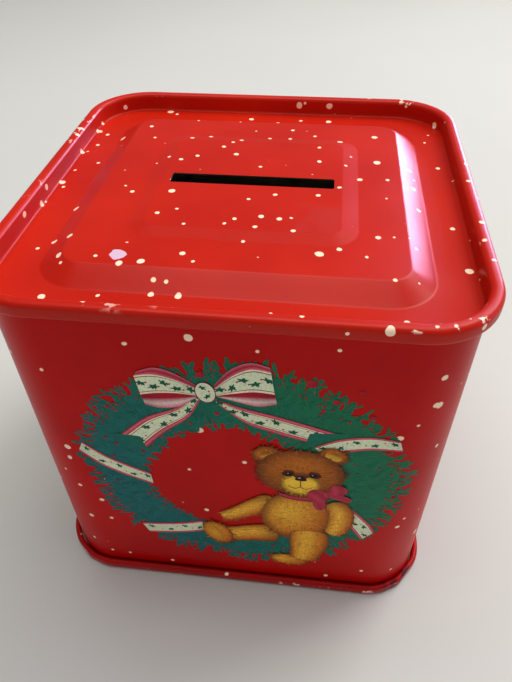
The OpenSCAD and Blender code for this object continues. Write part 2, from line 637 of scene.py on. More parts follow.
@dataclass(frozen=True)
class PrintedInk:
    """Ink printed under the enamel's clear coat. Its colour is in the mesh."""

    name: str

    def build(self) -> bpy.types.Material:
        """Lays out the material.

        Returns:
            The material.
        """
        bench = NodeBench(self.name)
        ink = bench.node("ShaderNodeAttribute", attribute_name="ink").outputs["Color"]
        grain = bench.noise(2600, 1).outputs["Fac"]
        colour = bench.mix(bench.ramp(grain, 0.42, 0.75), ink, self.darker(bench, ink))
        rough = bench.math("MULTIPLY_ADD", bench.noise(90, 4).outputs["Fac"], 0.16, 0.27)
        bench.bump(bench.noise(1500, 2).outputs["Fac"], 0.006, 0.5)
        bench.set(Base_Color=colour, Roughness=rough, Specular_IOR_Level=0.1)
        return bench.material

    def darker(self, bench: NodeBench, ink: bpy.types.NodeSocket) -> bpy.types.NodeSocket:
        """Returns the ink where the printing grain is heavy."""
        made = bench.node("ShaderNodeMix", data_type="RGBA", blend_type="MULTIPLY")
        bench.feed(made.inputs[0], 1.0)
        bench.feed(made.inputs[6], ink)
        bench.feed(made.inputs[7], (0.8, 0.8, 0.82))
        return made.outputs[2]


@dataclass(frozen=True)
class BareTin:
    """Unpainted tinplate, as the inside is left."""

    name: str = "bare_tinplate"

    def build(self) -> bpy.types.Material:
        """Lays out the material.

        Returns:
            The material.
        """
        bench = NodeBench(self.name)
        spangle = bench.node("ShaderNodeTexVoronoi", feature="SMOOTH_F1")
        bench.feed(spangle.inputs["Vector"], bench.place)
        bench.feed(spangle.inputs["Scale"], 160.0)
        colour = bench.mix(
            bench.ramp(spangle.outputs["Distance"], 0.2, 0.9), linear(196, 190, 176), linear(150, 146, 138)
        )
        rough = bench.math("MULTIPLY_ADD", bench.noise(200, 3).outputs["Fac"], 0.2, 0.28)
        bench.bump(bench.noise(900, 2).outputs["Fac"], 0.004, 0.4)
        bench.set(Base_Color=colour, Roughness=rough, Metallic=1.0)
        return bench.material


@dataclass(frozen=True)
class SoftPlastic:
    """Soft white polyethylene, moulded."""

    name: str = "soft_white_plastic"

    def build(self) -> bpy.types.Material:
        """Lays out the material.

        Returns:
            The material.
        """
        bench = NodeBench(self.name)
        cloud = bench.noise(120, 3).outputs["Fac"]
        colour = bench.mix(bench.ramp(cloud, 0.3, 0.75), linear(228, 226, 216), linear(242, 240, 232))
        scuff_and_shade = bench.noise(900, 4).outputs["Fac"]
        rough = bench.math("MULTIPLY_ADD", scuff_and_shade, 0.18, 0.36)
        bench.bump(scuff_and_shade, 0.01, 0.5)
        bench.set(Base_Color=colour, Roughness=rough, Subsurface_Weight=0.25)
        bench.set(Subsurface_Scale=1.5 * MM)
        return bench.material


@dataclass(frozen=True)
class TableTop:
    """The pale table that the tin stands on."""

    name: str = "pale_table"
    colour: Colour = field(default_factory=lambda: linear(203, 204, 200))

    def build(self) -> bpy.types.Material:
        """Lays out the material.

        Returns:
            The material.
        """
        bench = NodeBench(self.name)
        cloud = bench.noise(6, 3).outputs["Fac"]
        colour = bench.mix(bench.ramp(cloud, 0.2, 0.8), self.colour, scaled(self.colour, 0.96))
        bench.bump(bench.noise(500, 3).outputs["Fac"], 0.02, 0.3)
        bench.set(Base_Color=colour, Roughness=0.8, Specular_IOR_Level=0.0)
        return bench.material


# ---------------------------------------------------------------- the shell


@dataclass
class TopEnd:
    """The pressed top: a rolled seam, a countersink, two square steps and the coin slot."""

    outer_in: float = 7.3
    outer_r: float = 8.0
    outer_run: float = 4.2
    outer_rise: float = 2.3
    inner_half: float = 20.25
    inner_r: float = 5.0
    inner_run: float = 3.05
    inner_rise: float = 0.55
    outer_fillet: float = 1.1
    inner_fillet: float = 2.0
    slot_l: float = 31.4
    slot_w: float = 3.7

    def build(self, enamel: bpy.types.Material, inside: bpy.types.Material) -> bpy.types.Object:
        """Makes the top end.

        Args:
            enamel: The printed outside.
            inside: The bare inside.

        Returns:
            The piece.
        """
        top = SIZES.height
        bender = SheetBender("printed_top")
        draw_seam(bender, top, 1)
        foot = top - SIZES.sink
        middle = foot + self.outer_rise
        outer_half = SIZES.half - self.outer_in
        self.step(
            bender, outer_half, self.outer_r, self.outer_run, self.outer_rise, foot, self.outer_fillet
        )
        self.step(
            bender, self.inner_half, self.inner_r, self.inner_run, self.inner_rise, middle, self.inner_fillet
        )
        bender.bridge_at(foot)
        bender.bridge_at(middle)
        self.slot(middle + self.inner_rise)
        bender.fill_at(middle + self.inner_rise)
        piece = bender.finish(SIZES.sheet)
        dress(piece, TIN, "printed_lid", enamel, inside)
        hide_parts("top_end")
        return piece

    def step(
        self,
        bender: SheetBender,
        half: float,
        corner: float,
        run: float,
        rise: float,
        z: float,
        fillet: float,
    ) -> None:
        """Presses one square step, soft at its foot and its brow.

        Args:
            bender: The piece in work.
            half: Half width of the step's foot.
            corner: The foot's corner radius.
            run: Width of the slope.
            rise: Height of the step.
            z: Height of the foot.
            fillet: Radius of the two soft bends.
        """
        slope = math.atan2(rise, run)
        ease = fillet * math.tan(slope / 2)
        bender.pen_down(half, half - corner, ease, z)
        bender.arc(ease, z + fillet, -math.degrees(slope), 5)
        bender.line_to(ease_end(-run, ease, slope), z + rise - ease * math.sin(slope), 2)
        bender.arc(-run - ease, z + rise - fillet, math.degrees(slope), 5)
        bender.around(half - corner)

    def slot(self, z: float) -> None:
        """Pierces the coin slot's outline into the panel's middle."""
        bpy.ops.mesh.select_all(action="DESELECT")
        bpy.ops.mesh.select_mode(type="VERT")
        bpy.ops.mesh.primitive_plane_add(size=MM, location=(0, 0, z * MM))
        bpy.ops.transform.resize(value=(self.slot_l, self.slot_w, 1))
        bpy.ops.mesh.bevel(offset=0.4 * MM, segments=4, affect="VERTICES")
        bpy.ops.mesh.delete(type="ONLY_FACE")


def ease_end(edge: float, ease: float, slope: float) -> float:
    """Returns where a slope meets the soft bend at its top."""
    return edge + ease * math.cos(slope)


def draw_seam(bender: SheetBender, crest: float, way: int) -> None:
    """Draws and drives an end's rolled seam, from under its tuck to the countersink's foot.

    Args:
        bender: The piece in work.
        crest: Height of the seam's crest.
        way: 1 for the top end, -1 for the base end.
    """
    s = SIZES
    tuck = crest - way * (s.seam_h - s.tuck_r)
    bender.pen_down(s.half, s.flat, s.seam_out - 2 * s.tuck_r, tuck)
    bender.arc(s.seam_out - s.tuck_r, tuck, way * 180, 8)
    bender.line_to(s.seam_out, crest - way * s.crest_r, 2)
    bender.arc(s.seam_out - s.crest_r, crest - way * s.crest_r, way * 90, 6)
    bender.line_to(s.chuck + s.crest_r, crest)
    bender.arc(s.chuck + s.crest_r, crest - way * s.crest_r, way * 90, 6)
    bender.line_to(s.chuck, crest - way * (s.sink - s.sink_r), 3)
    bender.arc(s.chuck - s.sink_r, crest - way * (s.sink - s.sink_r), -way * 90, 4)
    bender.around(s.flat, 24, 16)


@dataclass
class Wall:
    """The rolled wall, with its lock seam up the back."""

    overlap: float = 0.8
    lock_x: float = -23.0
    lock_open: float = 1.0
    fold_r: float = 0.5
    fold_end: float = 4.8
    end_run: float = 0.8
    groove_run: float = 0.34
    groove_deep: float = 0.6
    side_steps: int = 6
    corner_steps: int = 20

    def build(self, enamel: bpy.types.Material, inside: bpy.types.Material) -> bpy.types.Object:
        """Makes the wall.

        Args:
            enamel: The printed outside.
            inside: The bare inside.

        Returns:
            The piece.
        """
        s = SIZES
        bender = SheetBender("printed_wall")
        bender.pen_down(s.half, s.flat, 0, self.overlap)
        bender.line_to(0, self.fold_end - self.end_run, 2)
        bender.line_to(0, self.fold_end)
        bender.line_to(0, s.height - self.fold_end, 8)
        bender.line_to(0, s.height - self.fold_end + self.end_run)
        bender.line_to(0, s.height - self.overlap, 2)
        bpy.ops.mesh.select_linked()
        bender.run(Vector((0, 2 * s.flat, 0)), self.side_steps)
        bender.turn(s.flat, s.flat, 90, self.corner_steps)
        self.back(bender)
        bender.turn(-s.flat, s.flat, 90, self.corner_steps)
        bender.run(Vector((0, -2 * s.flat, 0)), self.side_steps)
        bender.turn(-s.flat, -s.flat, 90, self.corner_steps)
        bender.run(Vector((2 * s.flat, 0, 0)), self.side_steps)
        bender.turn(s.flat, -s.flat, 90, self.corner_steps)
        piece = bender.finish(0)
        self.close_ends(piece)
        solidify(piece, s.sheet)
        smooth(piece)
        dress(piece, TIN, "printed_tin", enamel, inside)
        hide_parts("body_wall")
        return piece

    def close_ends(self, piece: bpy.types.Object) -> None:
        """Presses the lock seam's groove flat where the double seams hold the wall."""
        s = SIZES
        for vertex in piece.data.vertices:
            x, y, z = vertex.co / MM
            in_groove = self.lock_x - 1 < x < self.lock_x + self.lock_open + 1 and y > s.half - 1
            if in_groove and not self.fold_end - 0.1 < z < s.height - self.fold_end + 0.1:
                vertex.co.y = s.half * MM

    def back(self, bender: SheetBender) -> None:
        """Drives the section along the back and through the lock seam's groove."""
        s = SIZES
        start = self.lock_x + self.lock_open
        rise = self.groove_deep - self.fold_r
        bender.run(Vector((start - s.flat, 0, 0)), self.side_steps)
        bender.run(Vector((-self.groove_run, -self.groove_deep, 0)), 2)
        bender.run(Vector((self.lock_x + self.fold_r - start + self.groove_run, rise, 0)))
        bender.turn(self.lock_x, s.half - self.fold_r, 90, 6)
        bender.run(Vector((-s.flat - self.lock_x, 0, 0)), 2)


@dataclass
class BaseEnd:
    """The base end, with its seat and round hole. Its seam is bruised at two corners."""

    hole_r: float = 19.0
    seat_r: float = 23.0
    slope: float = 0.8
    rise: float = 0.6

    def build(self, enamel: bpy.types.Material, inside: bpy.types.Material) -> bpy.types.Object:
        """Makes the base end.

        Args:
            enamel: The outside's red, darker than the lid's as painted shade.
            inside: The bare inside.

        Returns:
            The piece.
        """
        s = SIZES
        bender = SheetBender("seamed_base")
        draw_seam(bender, 0, -1)
        self.seat(bender)
        bender.bridge_at(s.sink)
        piece = bender.finish(s.sheet)
        self.bruise(piece)
        dress(piece, TIN, "plain_tin", enamel, inside)
        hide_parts("base_end")
        return piece

    def seat(self, bender: SheetBender) -> None:
        """Spins the round seat and the hole's edge."""
        s = SIZES
        bender.pen_down(self.seat_r + self.slope, 0, 0, s.sink)
        bender.line_to(-self.slope * 0.3, s.sink + self.rise * 0.18)
        bender.line_to(-self.slope * 0.7, s.sink + self.rise * 0.82)
        bender.line_to(-self.slope, s.sink + self.rise)
        bender.line_to(self.hole_r - self.seat_r - self.slope, s.sink + self.rise)
        bpy.ops.mesh.select_linked()
        bender.turn(0, 0, 360, 96)
        bpy.ops.mesh.select_linked()
        bpy.ops.mesh.remove_doubles(threshold=SAME_PLACE * MM)

    def bruise(self, piece: bpy.types.Object) -> None:
        """Crumples the seam at the front right corner and nicks it at the front left."""
        s = SIZES
        corner = s.flat + (s.corner_r + s.seam_out) * math.sqrt(0.5)
        for spot, reach, push in (
            (Vector((corner + 1.2, -corner + 1.6, 1.6)), 4.2, Vector((-0.42, 0.3, 0.14))),
            (Vector((corner - 2.8, -corner - 1.8, 1.8)), 2.6, Vector((-0.1, 0.3, 0.0))),
            (Vector((-corner + 0.6, -corner - 0.6, 1.4)), 2.4, Vector((0.22, 0.16, 0.14))),
            (Vector((-corner + 5.2, -corner - 3.0, 1.2)), 1.6, Vector((0.05, 0.2, 0.1))),
        ):
            for vertex in piece.data.vertices:
                away = (vertex.co / MM - spot).length / reach
                if away < 1:
                    vertex.co += push * MM * (1 - away * away) ** 2
        for vertex in piece.data.vertices:
            vertex.co.x = max(-s.reach * MM, min(s.reach * MM, vertex.co.x))
            vertex.co.y = max(-s.reach * MM, min(s.reach * MM, vertex.co.y))
            vertex.co.z = max(0.0, vertex.co.z)


@dataclass
class Stopper:
    """The soft plastic stopper, with its flange, bead, cup and pull bar."""

    flange_r: float = 22.5
    flange_t: float = 1.2
    plug_r: float = 18.92
    groove: float = 0.4
    cup_r: float = 17.22
    taper: float = 0.9
    membrane: float = 1.2
    bar_w: float = 3.0
    bar_h: float = 4.0

    def build(self, plastic: bpy.types.Material) -> bpy.types.Object:
        """Makes the stopper.

        Args:
            plastic: Its material.

        Returns:
            The piece.
        """
        low, high = (corner.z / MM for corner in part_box("stopper"))
        flange = low + self.flange_t
        bead = flange + 0.55 + self.groove
        bender = SheetBender("base_stopper")
        bender.pen_down(0, 0, 0, high - self.membrane)
        for r, z in (
            (self.cup_r - self.taper - 0.8, high - self.membrane),
            (self.cup_r - self.taper, high - self.membrane - 0.8),
            (self.cup_r, bead + 1.2),
            (self.cup_r, low + 0.35),
            (self.cup_r + 0.35, low),
            (self.flange_r - 0.45, low),
            (self.flange_r - 0.1, low + 0.15),
            (self.flange_r, low + 0.5),
            (self.flange_r, flange - 0.3),
            (self.flange_r - 0.25, flange),
            (self.plug_r - self.groove + 0.1, flange),
            (self.plug_r - self.groove, flange + 0.1),
            (self.plug_r - self.groove, flange + 0.45),
            (self.plug_r - 0.05, bead),
            (self.plug_r, bead + 0.3),
            (self.plug_r - 0.05, bead + 1.2),
            (self.plug_r - self.taper + 0.1, high - 0.7),
            (self.plug_r - self.taper - 0.2, high - 0.15),
            (self.plug_r - self.taper - 0.6, high),
            (0, high),
        ):
            bender.line_to(r, z)
        bpy.ops.mesh.select_linked()
        bender.turn(0, 0, 360, 72)
        self.bar(low)
        piece = bender.finish(0)
        dress(piece, PLUG, "white_plastic", plastic)
        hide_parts("stopper")
        return piece

    def bar(self, low: float) -> None:
        """Adds the pull bar across the cup, with soft edges."""
        bpy.ops.mesh.select_mode(type="VERT")
        bpy.ops.mesh.select_all(action="DESELECT")
        bpy.ops.mesh.primitive_cube_add(size=MM, location=(0, 0, (low + self.bar_h / 2) * MM))
        bpy.ops.transform.resize(value=(2 * self.cup_r + 0.9, self.bar_w, self.bar_h))
        bpy.ops.mesh.bevel(offset=0.4 * MM, segments=3, affect="EDGES")


# ---------------------------------------------------------------- the printed picture


def spline(points: Sequence[Point], count: int) -> list[Point]:
    """Runs a smooth curve through points.

    Args:
        points: The points, in order.
        count: How many stretches to cut the curve into.

    Returns:
        count + 1 points along the curve.
    """
    padded = [points[0], *points, points[-1]]
    last = len(points) - 1
    found = []
    for step in range(count + 1):
        place = step / count * last
        first = min(int(place), last - 1)
        t = place - first
        p0, p1, p2, p3 = padded[first : first + 4]
        found.append(
            tuple(
                0.5
                * (
                    2 * b
                    + (c - a) * t
                    + (2 * a - 5 * b + 4 * c - d) * t * t
                    + (3 * b - a - 3 * c + d) * t**3
                )
                for a, b, c, d in zip(p0, p1, p2, p3)
            )
        )
    return found


def between(first: Point, second: Point, share: float) -> Point:
    """Returns the point at a share of the way from one point to another."""
    return first[0] + (second[0] - first[0]) * share, first[1] + (second[1] - first[1]) * share


def turned(centre: Point, u: float, v: float, turn: float) -> Point:
    """Returns a point at u, v from a centre, on axes turned by an angle in radians."""
    return (
        centre[0] + u * math.cos(turn) - v * math.sin(turn),
        centre[1] + u * math.sin(turn) + v * math.cos(turn),
    )


def ladder(count: int) -> list[tuple[int, ...]]:
    """Returns the faces of a strip whose points come in pairs along it."""
    return [(2 * i, 2 * i + 2, 2 * i + 3, 2 * i + 1) for i in range(count)]


Shade = Callable[[float, float], Colour]
Stripe = tuple[float, float, Colour, Colour]


@dataclass
class PrintSheet:
    """One printing of a motif, gathered as flat inked shapes on one side of the tin.

    u runs to the right from the side's middle and z up from the table. Each later ink lies a
    hair above the last.
    """

    name: str
    lift: float = 0.02
    hair: float = 0.003
    film: float = 0.00004
    points: list[tuple[float, float, float]] = field(default_factory=list)
    faces: list[tuple[int, ...]] = field(default_factory=list)
    inks: list[Colour] = field(default_factory=list)

    def level(self) -> None:
        """Starts the next ink level."""
        self.lift += self.hair

    def put(self, points: Sequence[Point], faces: Sequence[Sequence[int]], inks: Sequence[Colour]) -> None:
        """Adds a shape.

        Args:
            points: Its points.
            faces: Its faces, as indices into points.
            inks: One colour a point.
        """
        start = len(self.points)
        self.lift += self.film
        self.points += [(u, self.lift, z) for u, z in points]
        self.faces += [tuple(start + index for index in face) for face in faces]
        self.inks += inks

    def disc(
        self, centre: Point, radii: Point, tilt: float, shade: Shade, rings: int = 5, spokes: int = 30,
        outline: Callable[[float], float] = lambda angle: 1.0,
    ) -> None:
        """Adds an oval.

        Args:
            centre: Its middle.
            radii: Half its width and half its height, before it is tilted.
            tilt: Its turn, in degrees.
            shade: Colour from the place in the oval, each -1..1.
            rings: Rings of faces.
            spokes: Faces in a ring.
            outline: Stretches the radius by the angle.
        """
        turn = math.radians(tilt)
        points, inks, faces = [centre], [shade(0, 0)], []
        for ring in range(1, rings + 1):
            for spoke in range(spokes):
                angle = math.tau * spoke / spokes
                reach = ring / rings
                x, y = reach * math.cos(angle), reach * math.sin(angle)
                inks.append(shade(x, y))
                u = x * radii[0] * outline(angle)
                v = y * radii[1] * outline(angle)
                points.append(turned(centre, u, v, turn))
        for spoke in range(spokes):
            following = (spoke + 1) % spokes
            faces.append((0, 1 + spoke, 1 + following))
            for ring in range(rings - 1):
                inner, outer = 1 + ring * spokes, 1 + (ring + 1) * spokes
                faces.append((inner + spoke, outer + spoke, outer + following, inner + following))
        self.put(points, faces, inks)

    def band(
        self, top: Sequence[Point], bottom: Sequence[Point], stripes: Sequence[Stripe],
        sheen: Callable[[float], float] = lambda along: 1.0, count: int = 24,
    ) -> None:
        """Adds a striped band between two curves.

        Args:
            top: Points of its upper edge.
            bottom: Points of its lower edge, the same way along.
            stripes: From share, to share, first colour and last colour of each stripe.
            sheen: Brightness from the share along the band.
            count: Faces along it.
        """
        upper, lower = spline(top, count), spline(bottom, count)
        for start, end, first, last in stripes:
            points, inks = [], []
            for step, (a, b) in enumerate(zip(upper, lower)):
                for share, colour in ((start, first), (end, last)):
                    points.append(between(a, b, share))
                    inks.append(scaled(colour, sheen(step / count)))
            self.put(points, ladder(count), inks)

    def limb(
        self, path: Sequence[Point], widths: Sequence[float], shade: Shade, count: int = 18, across: int = 6
    ) -> None:
        """Adds a round-ended limb along a curve.

        Args:
            path: Points of its middle line.
            widths: Half widths at even places along it.
            shade: Colour from the share along and the share across, 0..1 and -1..1.
            count: Faces along it.
            across: Faces across it.
        """
        middle = spline(path, count)
        sizes = spline([(width, 0.0) for width in widths], count)
        points, inks = [], []
        for step, (u, z) in enumerate(middle):
            before, after = middle[max(0, step - 1)], middle[min(count, step + 1)]
            along = Vector((after[0] - before[0], after[1] - before[1])).normalized()
            share = step / count
            cap = 1.0
            for end in (share, 1 - share):
                if end < 0.16:
                    cap = min(cap, math.sqrt(max(0.0, 1 - (1 - end / 0.16) ** 2)))
            for place in range(across + 1):
                off = (2 * place / across - 1) * sizes[step][0] * cap
                points.append((u - along.y * off, z + along.x * off))
                inks.append(shade(share, 2 * place / across - 1))
        row = across + 1
        faces = [
            (i * row + j, (i + 1) * row + j, (i + 1) * row + j + 1, i * row + j + 1)
            for i in range(count)
            for j in range(across)
        ]
        self.put(points, faces, inks)

    def stroke(
        self, start: Point, angle: float, length: float, width: float, ink: Colour, tip: float = 0.25
    ) -> None:
        """Adds one tapered brush stroke.

        Args:
            start: Where it starts.
            angle: Its direction, in radians.
            length: Its length.
            width: Its greatest width.
            ink: Its colour.
            tip: Width of its end, as a share of its width.
        """
        shape = [(0.0, 0.35), (0.3, 1.0), (0.75, 0.8), (1.0, tip)]
        self.brush(start, angle, length, width, shape, [ink] * 4)

    def finger(
        self, start: Point, angle: float, length: float, width: float, ink: Colour, tip_ink: Colour
    ) -> None:
        """Adds one blunt, round-ended needle of the wreath."""
        shape = [(0.0, 0.8), (0.55, 0.85), (0.85, 1.0), (0.97, 0.62)]
        self.brush(start, angle, length, width, shape, [blend(ink, tip_ink, share) for share, _ in shape])

    def brush(
        self, start: Point, angle: float, length: float, width: float,
        shape: Sequence[Point], inks: Sequence[Colour],
    ) -> None:
        """Adds a narrow mark of a given shape.

        Args:
            start: Where it starts.
            angle: Its direction, in radians.
            length: Its length.
            width: Its full width.
            shape: Share along and share of the width, at each pair of points.
            inks: The colour of each pair.
        """
        along = Vector((math.cos(angle), math.sin(angle)))
        side = Vector((-along.y, along.x)) * width / 2
        base = Vector(start)
        points, colours = [], []
        for (share, size), ink in zip(shape, inks):
            middle = base + along * length * share
            points += [tuple(middle - side * size), tuple(middle + side * size)]
            colours += [ink] * 2
        self.put(points, ladder(len(shape) - 1), colours)

    def holly(self, centre: Point, size: float, tilt: float, ink: Colour) -> None:
        """Adds one small spiked holly leaf."""
        self.disc(
            centre, (size, size * 0.55), tilt, lambda x, y: ink, 1, 20,
            outline=lambda angle: 0.78 + 0.3 * math.cos(5 * angle),
        )

    def piece(self, side: int, finish: bpy.types.Material) -> bpy.types.Object:
        """Makes the printing a mesh, cuts it for the corners and lays it on one side of the tin.

        Args:
            side: 0 front, 1 right, 2 back, 3 left.
            finish: The ink's material.

        Returns:
            The piece.
        """
        name = f"{self.name}_{('front', 'right', 'back', 'left')[side]}"
        mesh = bpy.data.meshes.new(name)
        mesh.from_pydata([Vector((u, -lift, z)) * MM for u, lift, z in self.points], [], self.faces)
        ink = mesh.color_attributes.new(name="ink", type="FLOAT_COLOR", domain="POINT")
        ink.data.foreach_set("color", [value for colour in self.inks for value in (*colour, 1.0)])
        piece = bpy.data.objects.new(name, mesh)
        bpy.context.scene.collection.objects.link(piece)
        only(piece)
        enter_edit()
        self.face_front()
        for cut in corner_cuts():
            bpy.ops.mesh.select_all(action="SELECT")
            bpy.ops.mesh.bisect(plane_co=(cut * MM, 0, 0), plane_no=(1, 0, 0))
        if side == 2:
            self.part_at_lock()
        leave_edit()
        for vertex in piece.data.vertices:
            vertex.co = on_wall(vertex.co, side)
        piece.data.update()
        smooth(piece, 60)
        dress(piece, TIN, "printed_tin", finish)
        return piece

    def face_front(self) -> None:
        """Turns every face to look out of the wall."""
        mesh = bmesh.from_edit_mesh(bpy.context.object.data)
        bmesh.ops.dissolve_degenerate(mesh, dist=1e-7, edges=mesh.edges)
        for face in mesh.faces:
            face.normal_update()
            if face.normal.y > 0:
                face.normal_flip()
        bmesh.update_edit_mesh(bpy.context.object.data)

    def part_at_lock(self) -> None:
        """Leaves out the ink that the lock seam's groove swallows."""
        groove = (-Wall.lock_x - Wall.lock_open, -Wall.lock_x)
        for cut in groove:
            bpy.ops.mesh.select_all(action="SELECT")
            bpy.ops.mesh.bisect(plane_co=(cut * MM, 0, 0), plane_no=(1, 0, 0))
        mesh = bmesh.from_edit_mesh(bpy.context.object.data)
        inside = [f for f in mesh.faces if groove[0] < f.calc_center_median().x / MM < groove[1]]
        bmesh.ops.delete(mesh, geom=inside, context="FACES")
        bmesh.update_edit_mesh(bpy.context.object.data)


def corner_cuts(step: float = 0.9, reach: float = 7.0) -> list[float]:
    """Returns where a print is cut so that it can bend round the corners."""
    count = int(reach / step)
    return [way * (SIZES.flat + index * step) for way in (-1, 1) for index in range(count)]


def on_wall(place: Vector, side: int) -> Vector:
    """Lays a point of a flat print on the wall.

    Args:
        place: u along X, lift along -Y and height along Z, in metres.
        side: Which side of the tin, counted anticlockwise from the front.

    Returns:
        The point on the wall, in metres.
    """
    s = SIZES
    u, lift, z = place.x / MM, -place.y / MM, place.z
    over = abs(u) - s.flat
    if over <= 0:
        x, y = u, -s.half - lift
    else:
        angle = over / s.corner_r
        x = math.copysign(s.flat + (s.corner_r + lift) * math.sin(angle), u)
        y = -s.flat - (s.corner_r + lift) * math.cos(angle)
    flat_place = Vector((x * MM, y * MM, z))
    return Matrix.Rotation(math.radians(90 * side), 3, "Z") @ flat_place


@dataclass
class Wreath:
    """The evergreen ring with its berries and the ribbon wound round it."""

    centre: Point = (2.0, 39.0)
    outer: float = 28.2
    hole: Point = (0.8, 37.2)
    inner: float = 17.2
    seed: int = 11
    needle_count: int = 1100
    gap_count: int = 210
    berry_count: int = 70

    def tone(self, u: float, z: float, draw: random.Random) -> Colour:
        """Returns the ring's green at a place, bluer towards the lower left.

        Args:
            u: Across.
            z: Up.
            draw: The random numbers in use.

        Returns:
            The colour.
        """
        share = 0.5 + (u - self.centre[0]) / 50 + (z - self.centre[1]) / 90
        share += draw.uniform(-0.12, 0.12)
        return scaled(blend(Ink.TEAL.light, Ink.GREEN.light, share), draw.uniform(0.86, 1.12))

    def edge(self, angle: float, outside: bool) -> Point:
        """Returns a point on the ring's outer or inner edge."""
        if outside:
            reach = self.outer * (1 + 0.018 * math.sin(5 * angle + 0.6) + 0.012 * math.sin(11 * angle))
            middle = self.centre
        else:
            reach = self.inner * (1 + 0.025 * math.sin(4 * angle + 1.1) + 0.015 * math.sin(9 * angle))
            middle = self.hole
        return middle[0] + reach * math.cos(angle), middle[1] + reach * math.sin(angle)

    def across(self, angle: float, share: float) -> Point:
        """Returns a point between the inner edge, at share 0, and the outer one, at share 1."""
        return between(self.edge(angle, False), self.edge(angle, True), share)

    def ring(self, sheet: PrintSheet, draw: random.Random, spokes: int = 180, rings: int = 9) -> None:
        """Prints the ring's mottled ground."""
        points, inks = [], []
        for spoke in range(spokes):
            angle = math.tau * spoke / spokes
            for ring in range(rings + 1):
                u, z = self.across(angle, ring / rings)
                points.append((u, z))
                inks.append(self.tone(u, z, draw))
        row = rings + 1
        faces = [
            (i * row + j, i * row + j + 1, (i + 1) % spokes * row + j + 1, (i + 1) % spokes * row + j)
            for i in range(spokes)
            for j in range(rings)
        ]
        sheet.put(points, faces, inks)

    def fringe(self, sheet: PrintSheet, draw: random.Random) -> None:
        """Prints the blunt needles that stand out of both edges."""
        for outside, count, length in ((True, 250, 3.5), (False, 150, 1.9)):
            for index in range(count):
                angle = math.tau * (index + draw.uniform(-0.4, 0.4)) / count
                u, z = self.edge(angle, outside)
                way = angle if outside else angle + math.pi
                lean = draw.uniform(-0.7, 0.7)
                size = length * draw.uniform(0.45, 1.15)
                start = (u - 0.7 * math.cos(way), z - 0.7 * math.sin(way))
                tone = self.tone(u, z, draw)
                width = draw.uniform(0.5, 0.74)
                sheet.finger(start, way + lean, size + 0.5, width, tone, scaled(tone, 0.85))
                if draw.random() < 0.6:
                    share = draw.uniform(0.45, 0.75)
                    fork = (
                        start[0] + math.cos(way + lean) * size * share,
                        start[1] + math.sin(way + lean) * size * share,
                    )
                    side = draw.choice((-1, 1)) * draw.uniform(0.7, 1.1)
                    sheet.finger(fork, way + lean + side, size * 0.55, 0.5, tone, scaled(tone, 0.85))

    def needles(self, sheet: PrintSheet, draw: random.Random) -> None:
        """Prints needles and red gaps over the ring's ground."""
        for _ in range(self.needle_count):
            angle = draw.uniform(0, math.tau)
            u, z = self.across(angle, draw.random())
            way = angle + draw.uniform(-1.0, 1.0)
            tone = scaled(self.tone(u, z, draw), draw.choice((0.72, 0.85, 1.2, 1.32)))
            sheet.stroke((u, z), way, draw.uniform(0.8, 2.0), draw.uniform(0.14, 0.26), tone)
        sheet.level()
        for _ in range(self.gap_count):
            angle = draw.uniform(0, math.tau)
            share = draw.choice((draw.uniform(0.84, 1.0), draw.uniform(0.84, 1.0), draw.uniform(0.0, 0.1)))
            u, z = self.across(angle, share)
            tone = blend(Ink.GROUND.light, Ink.DEEP_GREEN.light, draw.uniform(0.0, 0.45))
            way = angle + draw.uniform(-0.9, 0.9)
            length = draw.uniform(0.5, 1.5)
            sheet.stroke((u, z), way, length, draw.uniform(0.18, 0.36), tone)

    def berries(self, sheet: PrintSheet, draw: random.Random) -> None:
        """Prints the berries, a few large and the rest small."""

        def round_berry(x: float, y: float) -> Colour:
            """Returns a berry's red, lit from the upper left."""
            return blend(Ink.BERRY.light, Ink.ROSE_DARK.light, 0.5 + 0.5 * (x - y) * 0.6)

        large = (
            ((14.1, 66.4), 0.95),
            ((18.2, 62.6), 0.62),
            ((-3.6, 66.6), 0.7),
            ((22.0, 65.2), 0.5),
            ((24.3, 59.5), 0.55),
        )
        for centre, size in large:
            sheet.disc(centre, (size, size * 0.92), 0, round_berry, 2, 14)
        for _ in range(self.berry_count):
            angle = draw.uniform(0, math.tau)
            centre = self.across(angle, draw.uniform(0.1, 0.92))
            size = draw.uniform(0.2, 0.48)
            tone = blend(Ink.BERRY.light, Ink.ROSE_DARK.light, draw.random())
            sheet.disc(centre, (size, size), 0, lambda x, y, tone=tone: tone, 1, 9)

    def build(self) -> PrintSheet:
        """Prints the whole ring.

        Returns:
            The printing.
        """
        sheet = PrintSheet("wreath_print")
        draw = random.Random(self.seed)
        self.fringe(sheet, draw)
        sheet.level()
        self.ring(sheet, draw)
        sheet.level()
        self.needles(sheet, draw)
        sheet.level()
        self.berries(sheet, draw)
        return sheet


def ribbon_stripes(edge: float = 0.19, line: float = 0.055, hair: float = 0.025) -> list[Stripe]:
    """Returns the ribbon's stripes from its upper edge to its lower one.

    Args:
        edge: Share of the width that each red border takes.
        line: Share that each cream line takes.
        hair: Share that each thin brown line takes.

    Returns:
        The stripes.
    """
    half = [
        (0.0, edge * 0.45, Ink.CRIMSON.light, Ink.PINK.light),
        (edge * 0.45, edge, Ink.PINK.light, Ink.CRIMSON.light),
        (edge, edge + line, Ink.CREAM.light, Ink.CREAM.light),
        (edge + line, edge + line + hair, Ink.LINE.light, Ink.LINE.light),
        (edge + line + hair, 0.5, Ink.MINT.light, Ink.MINT.light),
    ]
    return half + [(1 - b, 1 - a, d, c) for a, b, c, d in reversed(half)]


